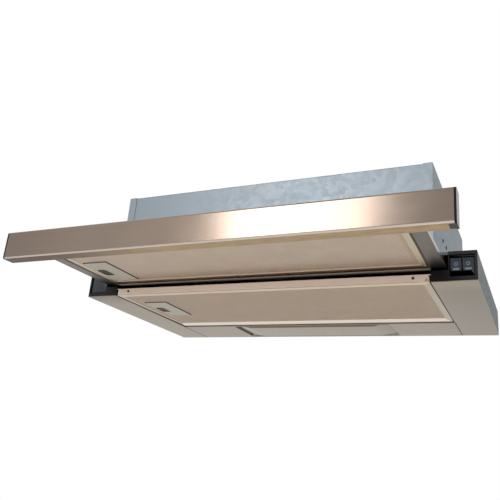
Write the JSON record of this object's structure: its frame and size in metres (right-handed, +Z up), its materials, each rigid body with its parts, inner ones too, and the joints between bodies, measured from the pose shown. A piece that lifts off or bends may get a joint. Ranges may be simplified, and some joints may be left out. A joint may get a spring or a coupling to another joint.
{
  "type": "pull out range hood",
  "caption": "Pull-out cooker hood that hangs under a wall cabinet: flat lower body, upper box with blower and duct collar, and a visor with its own grease filter that slides out.",
  "frame": {"origin": "centre of the four cabinet fixing holes, on the top face of the lower body", "axes": "+X to the right seen from the front, +Y to the wall, +Z up to the cabinet"},
  "size_m": [0.6, 0.494, 0.2114],
  "materials": {
    "galvanised_steel": "galvanised, satin",
    "stainless_steel": "brushed",
    "fascia_steel": "brushed",
    "bright_steel": "plain",
    "cream_paint": "satin",
    "black_plastic": "fine matt",
    "gloss_black": "gloss",
    "switch_black": "gloss, with pale legends",
    "dark_fixing": "blackened",
    "collar_plastic": "matt",
    "scroll_plastic": "matt",
    "wheel_plastic": "matt",
    "motor_aluminium": "cast",
    "stator_iron": "wound with enamelled wire",
    "bronze": "sintered",
    "capacitor_case": "gloss",
    "wire_sheath": "matt",
    "lamp_white": "gloss white",
    "holder_ceramic": "satin",
    "bulb_glass": "frosted",
    "lens_plastic": "opal",
    "filter_aluminium": "satin",
    "mesh_aluminium": "expanded mesh",
    "handle_plastic": "satin",
    "latch_plastic": "matt"
  },
  "bodies": {
    "housing": {"lower_shell": "galvanised_steel", "left_bottom_panel": "stainless_steel", "right_bottom_panel": "stainless_steel", "rear_bottom_panel": "stainless_steel", "front_lip": "cream_paint", "rivets": "dark_fixing", "left_corner_block": "black_plastic", "blank_insert": "gloss_black", "right_corner_block": "black_plastic", "switch_pivot_rod": "bright_steel", "switch_module": "collar_plastic", "upper_box_front": "galvanised_steel", "upper_box_top": "galvanised_steel", "upper_box_back": "galvanised_steel", "upper_box_left_side": "galvanised_steel", "upper_box_right_side": "galvanised_steel", "small_screws": "dark_fixing", "duct_collar": "collar_plastic", "scroll_left_half": "scroll_plastic", "scroll_right_half": "scroll_plastic", "motor_can": "motor_aluminium", "motor_stator": "stator_iron", "motor_bearings": "bronze", "motor_bracket": "bright_steel", "capacitor": "capacitor_case", "capacitor_clip": "bright_steel", "terminal_box": "collar_plastic", "cable_gland": "black_plastic", "wiring_loom": "wire_sheath", "lamp_tray": "lamp_white", "lamp_holders": "holder_ceramic", "lamp_bulbs": "bulb_glass", "left_fixed_rail": "bright_steel", "right_fixed_rail": "bright_steel", "microswitch": "black_plastic"},
    "left_ball_cage": {"left_ball_cage": "bright_steel"},
    "right_ball_cage": {"right_ball_cage": "bright_steel"},
    "visor": {"fascia_bar": "fascia_steel", "end_caps": "gloss_black", "fascia_screws": "bright_steel", "visor_pan": "galvanised_steel", "left_visor_rail": "stainless_steel", "right_visor_rail": "stainless_steel"},
    "visor_filter": {"visor_filter_frame": "filter_aluminium", "visor_filter_mesh": "mesh_aluminium", "visor_filter_handle": "handle_plastic"},
    "visor_latch": {"visor_latch": "latch_plastic"},
    "main_filter": {"main_filter_frame": "filter_aluminium", "main_filter_mesh": "mesh_aluminium", "main_filter_handle": "handle_plastic"},
    "main_latch": {"main_latch": "latch_plastic"},
    "lamp_cover": {"lamp_cover": "lens_plastic"},
    "light_switch": {"light_rocker": "switch_black"},
    "fan_switch": {"fan_rocker": "switch_black"},
    "front_flap": {"front_flap": "collar_plastic"},
    "rear_flap": {"rear_flap": "collar_plastic"},
    "impeller": {"impeller": "wheel_plastic", "impeller_blades": "wheel_plastic", "motor_shaft": "bright_steel"},
    "microswitch_lever": {"microswitch_lever": "bright_steel"}
  },
  "joints": [
    {"name": "visor_slide", "type": "slide", "parent": "housing", "child": "visor", "axis": [0, -1, 0], "range_m": [-0.1655, 0]},
    {"name": "left_cage_slide", "type": "slide", "parent": "housing", "child": "left_ball_cage", "axis": [0, -1, 0], "range_m": [-0.08275, 0]},
    {"name": "right_cage_slide", "type": "slide", "parent": "housing", "child": "right_ball_cage", "axis": [0, -1, 0], "range_m": [-0.08275, 0]},
    {"name": "visor_filter_hinge", "type": "hinge", "parent": "visor", "child": "visor_filter", "pos_m": [0.238, -0.2373, -0.02], "axis": [0, -1, 0], "range_deg": [0, 70]},
    {"name": "visor_latch_slide", "type": "slide", "parent": "visor_filter", "child": "visor_latch", "axis": [1, 0, 0], "range_m": [0, 0.004], "stiffness_N_per_m": 300, "springref_m": -0.001},
    {"name": "main_filter_hinge", "type": "hinge", "parent": "housing", "child": "main_filter", "pos_m": [0.238, -0.0451, -0.0365], "axis": [0, -1, 0], "range_deg": [0, 70]},
    {"name": "main_latch_slide", "type": "slide", "parent": "main_filter", "child": "main_latch", "axis": [1, 0, 0], "range_m": [0, 0.004], "stiffness_N_per_m": 300, "springref_m": -0.001},
    {"name": "lamp_cover_hinge", "type": "hinge", "parent": "housing", "child": "lamp_cover", "pos_m": [0, 0.143, -0.03575], "axis": [1, 0, 0], "range_deg": [0, 75]},
    {"name": "light_switch_rock", "type": "hinge", "parent": "housing", "child": "light_switch", "pos_m": [0.27435, -0.145, -0.01955], "axis": [-1, 0, 0], "range_deg": [0, 12]},
    {"name": "fan_switch_rock", "type": "hinge", "parent": "housing", "child": "fan_switch", "pos_m": [0.28865, -0.145, -0.01955], "axis": [-1, 0, 0], "range_deg": [0, 12]},
    {"name": "front_flap_hinge", "type": "hinge", "parent": "housing", "child": "front_flap", "pos_m": [0, -0.004, 0.1502], "axis": [-1, 0, 0], "range_deg": [0, 80]},
    {"name": "rear_flap_hinge", "type": "hinge", "parent": "housing", "child": "rear_flap", "pos_m": [0, 0.004, 0.1502], "axis": [1, 0, 0], "range_deg": [0, 80]},
    {"name": "impeller_spin", "type": "hinge", "parent": "housing", "child": "impeller", "pos_m": [0, -0.03647, 0.064], "axis": [1, 0, 0], "continuous": true},
    {"name": "microswitch_lever_turn", "type": "hinge", "parent": "housing", "child": "microswitch_lever", "pos_m": [-0.237, 0.0412, -0.0025], "axis": [-1, 0, 0], "range_deg": [-14, 0]}
  ],
  "couplings": [
    {"joint": "left_cage_slide", "follows": "visor_slide", "ratio": 0.5},
    {"joint": "right_cage_slide", "follows": "visor_slide", "ratio": 0.5},
    {"joint": "microswitch_lever_turn", "follows": "visor_slide", "rad_per_m": 1.4763}
  ]
}
